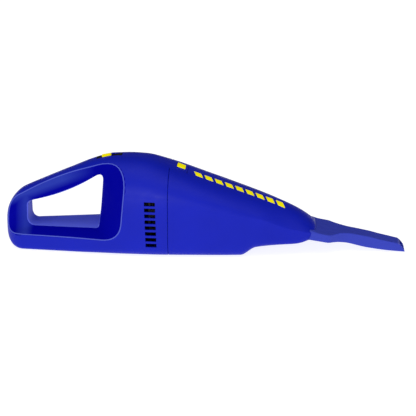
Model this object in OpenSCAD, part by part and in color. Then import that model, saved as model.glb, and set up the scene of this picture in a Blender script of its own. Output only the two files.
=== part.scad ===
// Cordless handheld vacuum cleaner with a closed loop handle, a pull-off dust
// bowl and a crevice tool.
//
// Millimetres. X runs from the handle to the nozzle, Y is the width, Z is up.
// The vacuum rests on its flat underside at Z = 0, and the parting plane of the
// two housing halves is Y = 0.  The bowl meets the housing at X = seam_x.

/* [Body] */
// Overall width of the body at the fan
body_w = 108; // [104:1:112]
// Overall height of the body above its underside
body_h = 112.5; // [111.5:0.5:114]
// Wall thickness of the housing halves
wall = 2.4; // [2:0.1:2.6]
// Wall thickness of the dust bowl
bowl_wall = 2.2; // [1.8:0.1:2.4]

/* [Handle] */
// Width of the upper hand grip
grip_w = 32; // [28:1:34]
// Width of the flat top of the lower rail at its front end
rail_w = 54; // [50:1:56]

/* [Vents] */
// Number of exhaust slots on each side
vent_count = 8; // [5:1:8]
// Distance between neighbouring slots
vent_pitch = 7.2; // [6.6:0.1:7.4]
// Height of one slot
vent_h = 4.6; // [3.5:0.1:5]

/* [Drive] */
// Outside diameter of the motor can
motor_d = 35.8; // [32:0.1:36]
// Diameter of the impeller
fan_d = 84; // [81:1:86]
// Number of impeller blades
fan_blades = 9; // [7:1:11]

/* [Tool] */
// Reach of the crevice tool in front of the nozzle
tool_reach = 115.6; // [100:0.2:116]
// Droop of the nozzle axis below horizontal, in degrees
nozzle_droop = 8.5; // [8:0.1:8.6]

/* [Output] */
// One node's name, or all for the whole vacuum

/* [Hidden] */
$fn = 48;
gap = 0.2;              // clearance between separate pieces
part_gap = 0.1;         // half of the gap between the housing halves
eps = 0.05;             // overshoot of a cut past a face

rear_x = -240.5;        // rear end of the housing
seam_x = -42;           // plane where housing and bowl meet
nose_x = 131.5;         // front end of the bowl
rear_round = 24;        // length of the rounded rear end
nose_round = 18;        // length of the rounded bowl front

// Station lines of the body: [x, value] pairs, joined by a smooth curve. The base
// line dips just below Z = 0, where the solids are cut off flat.
crown_line = [
    [rear_x, 60], [-216, 71.6], [-192, 82.2], [-163, 94.5], [-130, 107.5], [-112, body_h - 0.6],
    [-92, body_h], [-72, body_h - 1.2], [-46, 104.5], [0, 88], [60, 67.5], [100, 52.6], [nose_x, 35]
];
base_line = [[rear_x, -0.5], [43, -0.5], [61, 9.4], [80, 11.4], [110, 12.8], [nose_x, 16.5]];
width_line = [
    [rear_x, 31], [-200, 36], [-160, 41], [-123, 47], [-90, body_w / 2 - 2.5],
    [-50, body_w / 2], [0, body_w / 2 - 2], [62, 45], [96, 37.5], [nose_x, 31.5]
];
belt_line = [[rear_x, 18], [-160, 20], [-110, 38], [-60, 52], [-20, 58], [62, 48], [100, 34], [nose_x, 27]];
// Superellipse exponents of the crown: a large one is boxy, 1 gives a crease.
crown_y_power = [[rear_x, 2.5], [-20, 2.5], [nose_x, 2.1]];
crown_z_power = [[rear_x, 2.5], [-20, 2.4], [60, 1.45], [110, 1.1], [nose_x, 1.05]];
base_power = [[rear_x, 7], [104, 7], [122, 4], [nose_x, 2.4]];

grip_z = 58;            // above this height the handle is grip_w wide
rail_z = 28;            // top of the lower rail
rail_rear_w = rail_w - 20;  // width of the rail's top at its rear end

// Side outlines as [x, z, reach]: each corner is rounded off within its reach.
loop_outline = [
    [-213, 27, 11], [-126.5, 28.5, 4], [-120.8, 95.2, 12.5], [-162, 69.2, 34], [-213, 56.4, 5]
];
dish_outline = [
    [-237, 21, 10], [-99, 19.5, 22], [-90, 116, 40], [-179, 88, 40], [-236, 58, 16]
];

tongue_x = -21.5;       // front end of the housing tongue
tongue_w = 37;
tongue_z = 80.3;        // underside of the tongue
button_x = -29.2;       // centre of the release button
button_l = 9.4;
button_w = 15;

axis_z = 54;            // height of the motor and fan axis
fan_x = -61;            // rear face of the impeller
motor_x = -65.4;        // front face of the motor can
motor_l = 46;
shaft_d = 3.17;
screw_d = 3;
boss_d = 9;
mouth_in = 6;           // depth of the nozzle mouth behind nose_x
mouth_z = 23.6;         // height of the nozzle mouth's centre
spigot_l = 26;          // length of the tool that sits in the nozzle
duct_w = 50;            // inside width of the nozzle duct
duct_h = 12.4;
spigot_w = duct_w - 0.6;
spigot_h = duct_h - 0.6;
tool_wall = 1.5;

BLUE = [0.08, 0.11, 0.66];
BLACK = [0.08, 0.08, 0.09];
YELLOW = [0.85, 0.8, 0.05];
STEEL = [0.7, 0.71, 0.73];
COPPER = [0.72, 0.42, 0.2];
WHITE = [0.88, 0.88, 0.85];
GREEN = [0.1, 0.45, 0.3];
BOARD = [0.05, 0.3, 0.12];
RED = [0.7, 0.05, 0.05];

// ---------------------------------------------------------------- functions

// Index of the table entry that starts the span holding x.
function span(t, x, i = 0) = (i >= len(t) - 2 || x < t[i + 1][0]) ? i : span(t, x, i + 1);

// Slope of span i of a table.
function rise(t, i) = (t[i + 1][1] - t[i][1]) / (t[i + 1][0] - t[i][0]);

// Slope at entry i that never overshoots: harmonic mean of its two spans.
function knot_slope(t, i) =
    i == 0 ? rise(t, 0)
    : i == len(t) - 1 ? rise(t, i - 1)
    : rise(t, i - 1) * rise(t, i) <= 0 ? 0
    : 2 * rise(t, i - 1) * rise(t, i) / (rise(t, i - 1) + rise(t, i));

// Value at x of the smooth curve through a table of [x, value] pairs.
function smooth(t, x) = let (
    i = span(t, x),
    h = t[i + 1][0] - t[i][0],
    u = min(1, max(0, (x - t[i][0]) / h))
)
    t[i][1] * (2 * u * u * u - 3 * u * u + 1)
    + t[i + 1][1] * (3 * u * u - 2 * u * u * u)
    + h * knot_slope(t, i) * (u * u * u - 2 * u * u + u)
    + h * knot_slope(t, i + 1) * (u * u * u - u * u);

// How far the section has grown at x as [width, height] factors: 1 in the body,
// less in the rounded ends.
function end_scale(x) = let (
    rear = min(1, (x - rear_x) / rear_round),
    grown = pow(1 - pow(1 - rear, 2.45), 1 / 2.45),
    nose = max(0, (x - nose_x + nose_round) / nose_round),
    drop = 1 - sqrt(max(0, 1 - nose * nose))
) [grown * (1 - 0.16 * drop), grown * (1 - 0.4 * drop)];

// Height about which the rounded ends shrink.
function end_z(x) = x < seam_x ? 32 : mouth_z;

// Section of the body at x: [half width, crown, belt, base], inset by g.
function body_at(x, g = 0) = let (
    e = end_scale(x),
    zm = end_z(x)
) [
    smooth(width_line, x) * e[0] - g,
    zm + (smooth(crown_line, x) - zm) * e[1] - g,
    zm + (smooth(belt_line, x) - zm) * e[1],
    zm + (smooth(base_line, x) - zm) * e[1] + g
];

// Half width of the body at x and height z, inset by g.
function half_width(x, z, g = 0) = let (
    b = body_at(x, g),
    up = (z - b[2]) / (b[1] - b[2]),
    down = (b[2] - z) / (b[2] - b[3])
)
    z > b[2]
    ? b[0] * pow(max(0, 1 - pow(min(1, up), smooth(crown_z_power, x))), 1 / smooth(crown_y_power, x))
    : b[0] * pow(max(0, 1 - pow(min(1, down), smooth(base_power, x))), 1 / smooth(base_power, x));

// Quarter of a superellipse as [y, z] steps from the top to the side.
function quarter(n, w, h, py, pz) = [
    for (k = [n:-1:1]) let (a = 90 * k / n) [w * pow(max(0, cos(a)), 2 / py), h * pow(sin(a), 2 / pz)]
];

// Closed section ring of the body at x, inset by g.
function body_ring(x, g = 0) = let (
    b = body_at(x, g),
    crown = quarter(14, b[0], b[1] - b[2], smooth(crown_y_power, x), smooth(crown_z_power, x)),
    base = quarter(6, b[0], b[2] - b[3], smooth(base_power, x), smooth(base_power, x)),
    half = concat(
        [for (p = crown) [p[0], b[2] + p[1]]],
        [[b[0], b[2]]],
        [for (k = [5:-1:0]) [base[k][0], b[2] - base[k][1]]]
    ),
    n = len(half)
) concat(
    [for (p = half) [x, p[0], p[1]]],
    [for (k = [n - 2:-1:1]) [x, -half[k][0], half[k][1]]]
);

// Point at share u of the quadratic curve from a to b that bends towards c.
function curve_at(a, c, b, u) = (1 - u) * (1 - u) * a + 2 * u * (1 - u) * c + u * u * b;

// Corners rounded off as quadratic curves, n points at each corner.
function rounded(corners, n) = [
    for (i = [0:len(corners) - 1])
        let (
            m = len(corners),
            c = corners[i],
            p = [c[0], c[1]],
            a = [corners[(i + m - 1) % m][0], corners[(i + m - 1) % m][1]] - p,
            b = [corners[(i + 1) % m][0], corners[(i + 1) % m][1]] - p,
            start = p + a * c[2] / norm(a),
            stop = p + b * c[2] / norm(b)
        )
            for (k = [0:n])
                curve_at(start, p, stop, k / n)
];

// A closed outline grown outwards by g (counter-clockwise seen from -Y).
function grown(pts, g) = [
    for (i = [0:len(pts) - 1])
        let (
            n = len(pts),
            t = pts[(i + 1) % n] - pts[(i + n - 1) % n],
            u = t / norm(t)
        )
            pts[i] + g * [u[1], -u[0]]
];

// Half width of the handle at the edge of its finger loop.
function loop_edge_y(x, z) = let (
    ahead = min(1, max(0, (x + 205) / 78)),
    rail = (rail_rear_w + (rail_w - rail_rear_w) * ahead) / 2,
    u = min(1, max(0, (z - rail_z) / (grip_z - rail_z)))
) rail + (grip_w / 2 - rail) * (3 * u * u - 2 * u * u * u);

// One ring of the dish between the loop edge (t = 0) and the body skin (t = 1).
function dish_ring(t, grow) = let (
    inner = grown(rounded(loop_outline, 7), grow),
    outer = grown(rounded(dish_outline, 7), grow)
) [
    for (i = [0:len(inner) - 1])
        let (
            e = pow(t, 1.25),
            y0 = loop_edge_y(inner[i][0], inner[i][1]) - grow,
            y1 = half_width(outer[i][0], outer[i][1]) - grow,
            p = inner[i] + (outer[i] - inner[i]) * e
        )
            [p[0], y0 + (y1 - y0) * t, p[1]]
];

// ------------------------------------------------------------- solid helpers

// Solid through a list of rings with the same number of points each, which run
// clockwise when seen from the last ring.
module loft(rings) {
    n = len(rings[0]);
    m = len(rings);
    sides = [
        for (j = [0:m - 2], i = [0:n - 1])
            each [
                [j * n + i, j * n + (i + 1) % n, (j + 1) * n + i],
                [j * n + (i + 1) % n, (j + 1) * n + (i + 1) % n, (j + 1) * n + i]
            ]
    ];
    start = [for (i = [1:n - 2]) [0, i + 1, i]];
    stop = [for (i = [1:n - 2]) [(m - 1) * n, (m - 1) * n + i, (m - 1) * n + i + 1]];
    polyhedron([for (r = rings) each r], concat(sides, start, stop));
}

// Body solid from x0 to x1, inset by g.
module body(x0, x1, g = 0) {
    steps = max(2, ceil((x1 - x0) / 8));
    loft([for (k = [0:steps]) body_ring(x0 + (x1 - x0) * k / steps, g)]);
}

// Stations that crowd together in the rounded rear end.
function rear_stations(g) = [
    for (a = [10:13:88]) rear_x + g + rear_round * (1 - cos(a))
];

// Rear body solid up to x1, inset by g.
module rear_body(x1, g = 0) {
    first = rear_x + g + rear_round;
    steps = ceil((x1 - first) / 8);
    loft(concat(
        [for (x = rear_stations(g)) body_ring(x, g)],
        [for (k = [0:steps]) body_ring(first + (x1 - first) * k / steps, g)]
    ));
}

// Bowl solid from x0 to the rounded nose, inset by g.
module nose_body(x0, g = 0) {
    last = nose_x - nose_round - g;
    steps = ceil((last - x0) / 8);
    loft(concat(
        [for (k = [0:steps]) body_ring(x0 + (last - x0) * k / steps, g)],
        [for (a = [20:17.5:90]) body_ring(last + nose_round * sin(a), g)]
    ));
}

// Space of the finger loop and its dish on one side, grown by grow.
module handle_space(side, grow = 0) {
    dish = [for (t = [0, 0.12, 0.28, 0.46, 0.64, 0.82, 1, 1.12]) dish_ring(t, grow)];
    centre = [for (p = dish[0]) [p[0], -eps, p[2]]];
    outside = [for (p = dish[len(dish) - 1]) [p[0], 75, p[2]]];
    scale([1, side, 1])
        loft(concat([centre], dish, [outside]));
}

// Block with its corner at p and size s.
module block(p, s) {
    translate(p)
        cube(s);
}

// Block of size s centred in X and Y on p, standing on p's height.
module pad(p, s) {
    translate([p[0] - s[0] / 2, p[1] - s[1] / 2, p[2]])
        cube(s);
}

// Rod along X from x0 to x1 on the motor axis.
module rod(x0, x1, d) {
    translate([x0, 0, axis_z])
        rotate([0, 90, 0])
            cylinder(h = x1 - x0, d = d);
}

// Pipe along X from x0 to x1 on the motor axis.
module pipe(x0, x1, d, bore) {
    difference() {
        rod(x0, x1, d);
        rod(x0 - 1, x1 + 1, bore);
    }
}

// Wire of diameter d through a list of points.
module wire(points, d = 1.8) {
    for (i = [0:len(points) - 2]) {
        run = points[i + 1] - points[i];
        translate(points[i])
            rotate([0, acos(run[2] / norm(run)), atan2(run[1], run[0])])
                cylinder(h = norm(run), d = d, $fn = 16);
    }
    for (i = [1:max(1, len(points) - 2)])
        translate(points[i])
            sphere(d = d + 0.3, $fn = 16);
}

// ------------------------------------------------------------------ housing

// Screw positions [x, z] of the housing halves.
screw_spots = [[-224, 52], [-223, 31.5], [-150, 86], [-88, 98], [-114, 10]];

// Outside of the housing with the tongue that carries the release button.
module housing_solid() {
    rear_body(seam_x);
    intersection() {
        body(seam_x - 4, tongue_x);
        pad([(seam_x + tongue_x) / 2 - 2, 0, tongue_z], [tongue_x - seam_x + 4, tongue_w, 40]);
    }
}

// Inside space of the housing.
module housing_cavity() {
    difference() {
        union() {
            rear_body(seam_x + 1, wall);
            intersection() {
                body(seam_x - 4, tongue_x - 2, wall);
                pad([-36, 0, tongue_z + 2], [40, tongue_w - 2 * wall, 60]);
            }
        }
        for (side = [-1, 1])
            handle_space(side, wall);
        for (s = screw_spots)
            translate([s[0], 0, s[1]])
                rotate([90, 0, 0])
                    cylinder(h = 120, d = boss_d, center = true, $fn = 24);
        // Stops above and below the motor plate.
        difference() {
            block([-67.2, -60, 0], [2, 120, 120]);
            rod(-70, -60, 90);
            block([-70, -60, 12], [8, 120, 84]);
        }
        // Rib that holds the motor ring.
        difference() {
            block([-104, -60, 0], [3, 120, 120]);
            rod(-106, -98, motor_d + 7);
            block([-106, -60, axis_z + 22], [8, 120, 60]);
            block([-106, -60, -20], [8, 120, axis_z - 2]);
        }
    }
}

// Exhaust slots through both sides.
module vent_slots() {
    for (k = [0:vent_count - 1])
        translate([-63 + 0.2 * k, 0, 66.2 - vent_pitch * k])
            cube([13, 140, vent_h], center = true);
}

module housing_right() {
    color(BLUE)
        housing_half(-1);
}

module housing_left() {
    color(BLUE)
        housing_half(1);
}

// One half of the housing: side -1 is the right half, 1 the left half.
module housing_half(side) {
    difference() {
        resize([0, 0, 0])
            intersection() {
                difference() {
                    housing_solid();
                    housing_cavity();
                    for (s = [-1, 1])
                        handle_space(s);
                    vent_slots();
                    switch_recess();
                    button_window();
                }
                translate([-250, side > 0 ? part_gap : -200 - part_gap, 0])
                    cube([300, 200, 150]);
            }
        screw_holes(side);
        jack_hole();
    }
}

// Bores for the housing screws, with head pockets in the left half.
module screw_holes(side) {
    for (s = screw_spots)
        translate([s[0], 0, s[1]])
            rotate([-90, 0, 0]) {
                translate([0, 0, -12])
                    cylinder(h = 30, d = screw_d + 0.2, $fn = 24);
                if (side > 0)
                    translate([0, 0, 8])
                        cylinder(h = 60, d = 6.4, $fn = 24);
            }
}

module housing_screws() {
    color(STEEL)
        for (s = screw_spots)
            translate([s[0], 0, s[1]])
                rotate([-90, 0, 0])
                    difference() {
                        union() {
                            translate([0, 0, -11])
                                cylinder(h = 19.2, d = screw_d, $fn = 24);
                            translate([0, 0, 8.1])
                                cylinder(h = 2.2, d = 5.6, $fn = 24);
                        }
                        cross_recess(10.3);
                    }
}

// Cross recess for a screwdriver, cut down from height z.
module cross_recess(z) {
    for (a = [0, 90])
        rotate([0, 0, a])
            translate([-1.6, -0.35, z - 1.2])
                cube([3.2, 0.7, 2]);
}

// --------------------------------------------------------- switch and button

switch_x = -115;
switch_l = 31;
switch_w = 10.5;
switch_z = (smooth(crown_line, switch_x - 13) + smooth(crown_line, switch_x + 13)) / 2 - 2.2;
switch_tilt = atan2(
    smooth(crown_line, switch_x + 13) - smooth(crown_line, switch_x - 13), 26
);

// Places children in the frame of the tilted switch plate.
module on_switch() {
    translate([switch_x, 0, switch_z])
        rotate([0, -switch_tilt, 0])
            children();
}

module switch_recess() {
    on_switch() {
        pad([0, 0, -0.4], [switch_l + 2 * gap, switch_w + 2 * gap, 12]);
        pad([0, 0, -12], [switch_l - 8, switch_w - 3, 14]);
    }
}

module switch_plate() {
    color(BLACK)
        on_switch()
            difference() {
                union() {
                    pad([0, 0, 0], [switch_l, switch_w, 2.2]);
                    pad([0, 0, -2.6], [switch_l - 9, switch_w - 4, 3]);
                }
                pad([0, 0, -4], [18, 4.4, 10]);
            }
}

module switch_knob() {
    color(YELLOW)
        on_switch()
            translate([-3.2, 0, 0]) {
                difference() {
                    pad([0, 0, 2.4], [10.5, 6.5, 2.3]);
                    for (k = [-1.5:1:1.5])
                        pad([2.3 * k, 0, 4.1], [0.9, 8, 2]);
                }
                pad([0, 0, -5.4], [8, 3.8, 8]);
            }
}

module switch_body() {
    color(BLACK)
        on_switch()
            difference() {
                pad([0, 0, -12], [24, 11, 7.8]);
                pad([0, 0, -8.5], [20, 7, 6]);
            }
}

module switch_contact() {
    color(COPPER)
        on_switch()
            for (k = [-1:1])
                pad([7 * k, 0, -13.6], [2.4, 0.8, 1.5]);
}

// Opening in the housing tongue for the release button.
module button_window() {
    pad([button_x, 0, 80], [button_l + 0.8, button_w + 0.8, 60]);
}

module release_button() {
    color(YELLOW)
        resize([0, 0, 0])
            union() {
                intersection() {
                    body(button_x - 6, button_x + 6, -0.8);
                    pad([button_x, 0, 90], [button_l, button_w, 20]);
                }
                pad([button_x, 0, 87.5], [button_l - 3, button_w - 8, 6]);
                for (side = [-1, 1])
                    pad([button_x, side * (button_w / 2 + 0.5), 90.2], [button_l, 4, 3.4]);
            }
}

// Leaf spring under the button, standing on the front cover's shelf.
module release_spring() {
    color(STEEL) {
        spring_z = tongue_z + 2.1;
        pad([button_x, 0, spring_z], [7, 14, 0.5]);
        for (side = [-1, 1])
            translate([button_x, side * 6.75, spring_z + 2.4])
                rotate([side * 14, 0, 0])
                    cube([7, 0.5, 4.9], center = true);
        pad([button_x, 0, spring_z + 4.4], [7, 13, 0.5]);
    }
}

// --------------------------------------------------------------------- bowl

// Places children on the drooping nozzle axis; X = 0 is the mouth plane.
module on_nozzle() {
    translate([nose_x - mouth_in, 0, mouth_z])
        rotate([0, nozzle_droop, 0])
            children();
}

// Rounded rectangular bar along X.
module duct_bar(x0, x1, w, h, r) {
    translate([x0, 0, 0])
        rotate([90, 0, 90])
            linear_extrude(x1 - x0)
                rounded_rect(w, h, r);
}

module rounded_rect(w, h, r) {
    square([w, h - 2 * r], center = true);
    square([w - 2 * r, h], center = true);
    for (a = [-1, 1], b = [-1, 1])
        translate([a * (w / 2 - r), b * (h / 2 - r)])
            circle(r, $fn = 16);
}

module dust_bowl() {
    color(BLUE)
        resize([0, 0, 0])
            difference() {
                nose_body(seam_x + 0.3);
                difference() {
                    nose_body(seam_x - 1, bowl_wall);
                    // Nozzle duct that stays standing inside the bowl.
                    on_nozzle()
                        duct_bar(-26, 20, duct_w + 4.4, duct_h + 4.4, 4);
                }
                on_nozzle()
                    duct_bar(-60, 40, duct_w, duct_h, 2.6);
                block([seam_x - 18, -100, -5], [300, 200, 5]);
                // Notch that receives the housing tongue.
                pad([(seam_x + tongue_x) / 2 - 5, 0, 70], [tongue_x - seam_x + 10.6, tongue_w + 0.6, 60]);
            }
}

// Cover that closes the housing and guides the bowl, with the fan's inlet eye.
module front_cover() {
    color(BLACK) {
        difference() {
            resize([0, 0, 0])
                difference() {
                    union() {
                        difference() {
                            body(seam_x - 6, seam_x - 3.4, wall + 0.4);
                            body(seam_x - 7, seam_x - 3.6, wall + 2.4);
                        }
                        body(seam_x - 3.5, seam_x + 9, bowl_wall + 2);
                    }
                    body(seam_x - 1.4, seam_x + 10, bowl_wall + 3.8);
                    tongue_space();
                }
            rod(seam_x - 14, seam_x + 16, 40);
        }
        // Finger guard across the inlet eye.
        for (d = [14, 27])
            pipe(seam_x - 4.5, seam_x - 2, d + 1.6, d - 1.6);
        for (a = [0:60:179])
            translate([seam_x - 3.25, 0, axis_z])
                rotate([a, 0, 0])
                    cube([2.5, 1.8, 41], center = true);
    }
}

module bowl_seal() {
    color(BLACK)
        resize([0, 0, 0])
            difference() {
                body(seam_x + 0.6, seam_x + 3.4, bowl_wall + gap);
                body(seam_x, seam_x + 4, bowl_wall + 2 - gap);
                tongue_space();
            }
}

// Room for the housing tongue in the parts that close the housing.
module tongue_space() {
    pad([seam_x + 12, 0, 78.5], [34, tongue_w + 1, 60]);
}

// ------------------------------------------------------------------- filter

filter_z = 43.5;
filter_d = 72;

// Places children on the filter axis, X unchanged.
module on_filter(x) {
    translate([x, 0, filter_z])
        rotate([0, 90, 0])
            children();
}

module filter_gasket() {
    color(BLACK)
        on_filter(seam_x - 1.2)
            difference() {
                cylinder(h = 1.8, d = filter_d);
                translate([0, 0, -1])
                    cylinder(h = 4, d = filter_d - 10);
            }
}

module filter_frame() {
    color(BLACK)
        on_filter(seam_x + 0.8) {
            difference() {
                cylinder(h = 3, d = filter_d);
                translate([0, 0, -1])
                    cylinder(h = 6, d = filter_d - 8);
            }
            difference() {
                translate([0, 0, 2.9])
                    cylinder(h = 7, d = filter_d - 4);
                translate([0, 0, 2])
                    cylinder(h = 9, d = filter_d - 6.6);
            }
            for (a = [0:60:179])
                rotate([0, 0, a])
                    translate([2 - filter_d / 2, -1, 0.2])
                        cube([filter_d - 4, 2, 2.4]);
        }
}

module filter_cup() {
    color(WHITE)
        on_filter(seam_x + 4)
            difference() {
                union() {
                    cylinder(h = 52, d1 = filter_d - 7, d2 = 42);
                    translate([0, 0, 52])
                        cylinder(h = 6, d1 = 42, d2 = 32);
                }
                translate([0, 0, -0.1])
                    cylinder(h = 52, d1 = filter_d - 10, d2 = 39);
            }
}

// -------------------------------------------------------------- inlet valve

hinge_x = -32.2;

module valve_seat() {
    color(BLACK)
        on_nozzle() {
            difference() {
                duct_bar(-30, -26.4, duct_w + 8, duct_h + 8, 4);
                duct_bar(-32, -20, duct_w - 2, duct_h - 1, 2);
            }
            for (side = [-1, 1])
                difference() {
                    translate([hinge_x - 2.4, side * 26.6 - 1.2, 5.4])
                        cube([4.8, 2.4, 5.2]);
                    hinge_bore(1.8);
                }
        }
}

module hinge_bore(d) {
    translate([hinge_x, 0, 8])
        rotate([90, 0, 0])
            cylinder(h = 70, d = d, center = true, $fn = 24);
}

module flap_pin() {
    color(STEEL)
        on_nozzle()
            translate([hinge_x, 0, 8])
                rotate([90, 0, 0])
                    cylinder(h = 56, d = 1.7, center = true, $fn = 24);
}

module flap() {
    color(BLACK)
        on_nozzle()
            difference() {
                union() {
                    translate([hinge_x + 0.8, -25, -8.6])
                        cube([1.1, 50, 17]);
                    translate([hinge_x, 0, 8])
                        rotate([90, 0, 0])
                            cylinder(h = 50, d = 3.6, center = true, $fn = 24);
                }
                hinge_bore(1.8);
            }
}

// --------------------------------------------------------------------- tool

// Half width, top and underside of the tool and the radius of its upper edges, at
// shares of its reach in percent. Heights are measured from the nozzle axis.
tool_plan = [
    [-6, 31.3], [18.5, 30.7], [24.5, 24.8], [31, 18.4], [41, 13.8], [55, 13], [75, 12.7], [100, 10.5]
];
tool_top = [[-6, 7.2], [0, 6.9], [8, 5.2], [20, 4.7], [31, 5.8], [41, 6.1], [60, 5.4], [71, 4.1], [100, 2]];
tool_low = [[-6, -4.8], [20, -4.9], [41, -6.2], [60, -7.9], [71, -7.8], [87, -7.1], [100, -6.1]];
tool_edge = [[-6, 6], [8, 2.2], [20, 1.2], [100, 1]];
tool_splay = 3;         // how much further out the side's lower edge is at the tip

// Rounded rectangle as [y, z] steps, with its own radius for the upper corners.
function box_ring(w, h, low_r, top_r) = [
    for (q = [0:3], k = [0:4])
        let (
            a = 90 * q + 22.5 * k,
            r = q < 2 ? low_r : top_r,
            cy = (q == 0 || q == 3) ? w - r : r - w,
            cz = q < 2 ? h / 2 - r : r - h / 2
        )
            [cy + r * cos(a), -cz - r * sin(a)]
];

// Section of the tool at distance s from the mouth, inset by g.
function tool_ring(s, g = 0) = let (
    share = 100 * s / tool_reach,
    top = smooth(tool_top, share) - g,
    low = smooth(tool_low, share) + g,
    upper_r = max(0.6, smooth(tool_edge, share) - g),
    flare = tool_splay * max(0, share) / 100 / (top - low)
) [
    for (p = box_ring(smooth(tool_plan, share) - g, top - low, max(0.6, 1.5 - g), upper_r))
        [s, p[0] + sign(p[0]) * flare * ((top - low) / 2 - p[1]), p[1] + (top + low) / 2]
];

module tool_loft(g, x0, x1) {
    steps = ceil((x1 - x0) / 4);
    loft([for (k = [0:steps]) tool_ring(x0 + (x1 - x0) * k / steps, g)]);
}

// Cutter of the slanted, slightly bulging end of the tool.
module tool_end() {
    start = [tool_reach + 0.4, -8];
    bend = [tool_reach - 2.6, -0.8];
    stop = [tool_reach - 14.2, 5];
    rotate([90, 0, 0])
        linear_extrude(80, center = true)
            polygon(concat(
                [[tool_reach + 30, -8]],
                [for (k = [0:8]) curve_at(start, bend, stop, k / 8)],
                [[tool_reach + 30, 5]]
            ));
}

module crevice_tool() {
    color(BLUE)
        resize([0, 0, 0])
            difference() {
                union() {
                    // The collar follows the rounded front of the bowl.
                    difference() {
                        on_nozzle()
                            tool_loft(0, -4, tool_reach + 6);
                        nose_body(90, -0.3);
                    }
                    on_nozzle()
                        duct_bar(0.6 - spigot_l, 6.5, spigot_w, spigot_h, 2.4);
                }
                on_nozzle() {
                    tool_loft(tool_wall, 5, tool_reach + 12);
                    duct_bar(-spigot_l - 1, 5.5, spigot_w - 2 * tool_wall, spigot_h - 2 * tool_wall, 1.4);
                    tool_end();
                }
            }
}

// ------------------------------------------------------------ fan and motor

module impeller() {
    color(WHITE)
        difference() {
            union() {
                rod(fan_x, fan_x + 1.4, fan_d);
                rod(fan_x, fan_x + 7.2, 12);
                for (k = [0:fan_blades - 1])
                    translate([fan_x + 1, 0, axis_z])
                        rotate([360 * k / fan_blades, 0, 0])
                            blade();
            }
            rod(fan_x - 2, fan_x + 9, shaft_d + 0.1);
        }
}

// One backward-curved blade standing on the impeller disc.
module blade() {
    translate([0, -20, fan_d / 4])
        rotate([0, 90, 0])
            intersection() {
                difference() {
                    cylinder(h = 6.6, r = 27);
                    translate([0, 0, -1])
                        cylinder(h = 9, r = 25.8);
                }
                translate([-17, 0, -1])
                    cube([34, 40, 10]);
            }
}

module fan_nut() {
    color(STEEL)
        difference() {
            translate([fan_x + 7.4, 0, axis_z])
                rotate([0, 90, 0])
                    cylinder(h = 2.2, d = 6.4, $fn = 6);
            rod(fan_x, fan_x + 12, shaft_d + 0.1);
        }
}

module motor_plate() {
    color(BLACK)
        difference() {
            union() {
                rod(-64.9, -62.9, 94);
                pipe(-63, -56, 94, 90);
            }
            rod(-70, -60, 10.4);
            for (a = [0, 180])
                rotate_on_axis(a)
                    translate([-70, 0, 12.5])
                        rotate([0, 90, 0])
                            cylinder(h = 10, d = 3.2, $fn = 24);
            for (a = [15:30:345])
                rotate_on_axis(a)
                    translate([-62.5, -8, 40])
                        cube([5, 16, 12]);
        }
}

// Turns children about the motor axis.
module rotate_on_axis(a) {
    translate([0, 0, axis_z])
        rotate([a, 0, 0])
            children();
}

module motor_screws() {
    color(STEEL)
        for (a = [0, 180])
            rotate_on_axis(a)
                translate([0, 0, 12.5])
                    rotate([0, 90, 0]) {
                        translate([0, 0, -67.6])
                            cylinder(h = 4.8, d = 2.6, $fn = 24);
                        translate([0, 0, -62.8])
                            cylinder(h = 1, d = 5, $fn = 24);
                    }
}

module motor_can() {
    color(STEEL)
        difference() {
            union() {
                rod(motor_x - motor_l, motor_x, motor_d);
                rod(motor_x - 0.1, motor_x + 1.8, 10);
            }
            rod(motor_x - motor_l - 1, motor_x - 1.4, motor_d - 2.8);
            rod(motor_x - 2, motor_x + 3, 8.2);
            for (a = [0, 180])
                rotate_on_axis(a)
                    translate([motor_x - 3, 0, 12.5])
                        rotate([0, 90, 0])
                            cylinder(h = 5, d = 2.8, $fn = 24);
        }
}

module motor_magnets() {
    color(BLACK)
        difference() {
            rod(motor_x - 38, motor_x - 8, motor_d - 3);
            rod(motor_x - 40, motor_x - 6, motor_d - 11);
            for (a = [0, 180])
                rotate_on_axis(a)
                    translate([motor_x - 40, -3, 0])
                        cube([40, 6, 30]);
        }
}

module motor_bearings() {
    color(COPPER) {
        pipe(motor_x - 3.4, motor_x + 1.2, 8, shaft_d + 0.06);
        pipe(motor_x - motor_l - 1.4, motor_x - motor_l + 1.6, 8, shaft_d + 0.06);
    }
}

module motor_shaft() {
    color(STEEL)
        rod(motor_x - motor_l - 2.4, fan_x + 10.2, shaft_d);
}

module armature() {
    color(COPPER)
        difference() {
            rod(motor_x - 36, motor_x - 9, motor_d - 12);
            rod(motor_x - 40, motor_x, shaft_d + 0.06);
            for (a = [0:72:359])
                rotate_on_axis(a)
                    translate([motor_x - 40, -1.2, 5])
                        cube([40, 2.4, 12]);
        }
}

module commutator() {
    color(COPPER)
        pipe(motor_x - 42.5, motor_x - 37, 9, shaft_d + 0.06);
}

module motor_end() {
    color(WHITE)
        difference() {
            rod(motor_x - motor_l - 1.6, motor_x - motor_l + 2, motor_d - 3.1);
            rod(motor_x - motor_l - 3, motor_x - motor_l + 4, 8.2);
            for (a = [0, 180])
                rotate_on_axis(a)
                    translate([motor_x - motor_l - 4, -1.6, 8])
                        cube([10, 3.2, 3.4]);
        }
}

module motor_brushes() {
    color(BLACK)
        for (a = [0, 180])
            rotate_on_axis(a)
                translate([motor_x - 42, -1.5, 4.6])
                    cube([3.6, 3, 5]);
}

module motor_terminals() {
    color(COPPER)
        for (a = [0, 180])
            rotate_on_axis(a)
                translate([motor_x - motor_l - 5, -1.4, 8.3])
                    cube([9, 2.8, 0.6]);
}

module motor_ring() {
    color(BLACK)
        pipe(-105.5, -99.5, motor_d + 6, motor_d + 0.2);
}

// ------------------------------------------------------ battery and charging

cell_count = 3;         // battery cells side by side
cell_d = 18.3;
cell_l = 65;
cell_x = -191;
cell_z = 12.3;

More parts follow.
